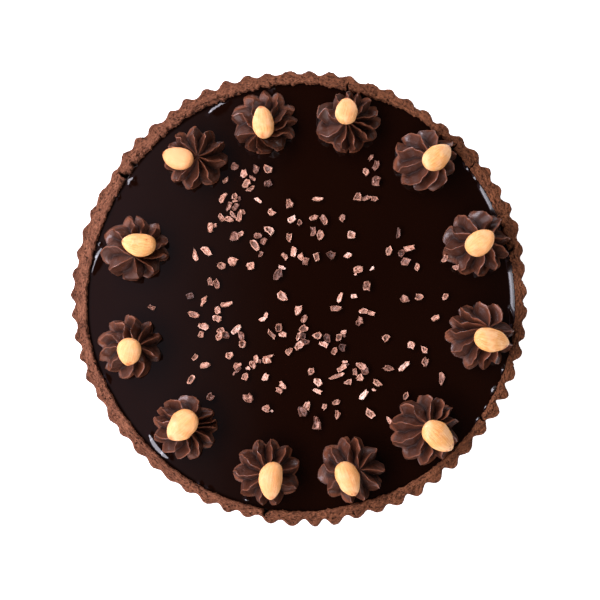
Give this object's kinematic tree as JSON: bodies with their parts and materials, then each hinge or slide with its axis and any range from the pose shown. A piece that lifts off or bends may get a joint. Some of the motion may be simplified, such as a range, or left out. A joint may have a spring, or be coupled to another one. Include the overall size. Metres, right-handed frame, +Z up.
{
  "type": "chocolate tart",
  "caption": "Whole round chocolate tart: fluted cocoa crust, glossy ganache filling, and piped rosettes round the edge with a blanched almond pressed into each.",
  "frame": {"origin": "middle of the tart's underside, on the surface it stands on", "axes": "+Z up, out of the filling; +X to the right and +Y away from someone who has almond_09 and almond_10 nearest"},
  "size_m": [0.2774, 0.277, 0.0486],
  "materials": {
    "crust": "matt, porous baked cocoa shortcrust",
    "filling": "mirror-smooth dark ganache glaze",
    "piped_ganache": "satin piped ganache",
    "almond": "smooth, slightly satin"
  },
  "bodies": {
    "root": {"crust": "crust", "filling": "filling", "rosette_01": "piped_ganache", "rosette_02": "piped_ganache", "rosette_03": "piped_ganache", "rosette_04": "piped_ganache", "rosette_05": "piped_ganache", "rosette_06": "piped_ganache", "rosette_07": "piped_ganache", "rosette_08": "piped_ganache", "rosette_09": "piped_ganache", "rosette_10": "piped_ganache", "rosette_11": "piped_ganache", "rosette_12": "piped_ganache", "almond_01": "almond", "almond_02": "almond", "almond_03": "almond", "almond_04": "almond", "almond_05": "almond", "almond_06": "almond", "almond_07": "almond", "almond_08": "almond", "almond_09": "almond", "almond_10": "almond", "almond_11": "almond", "almond_12": "almond"}
  },
  "joints": []
}
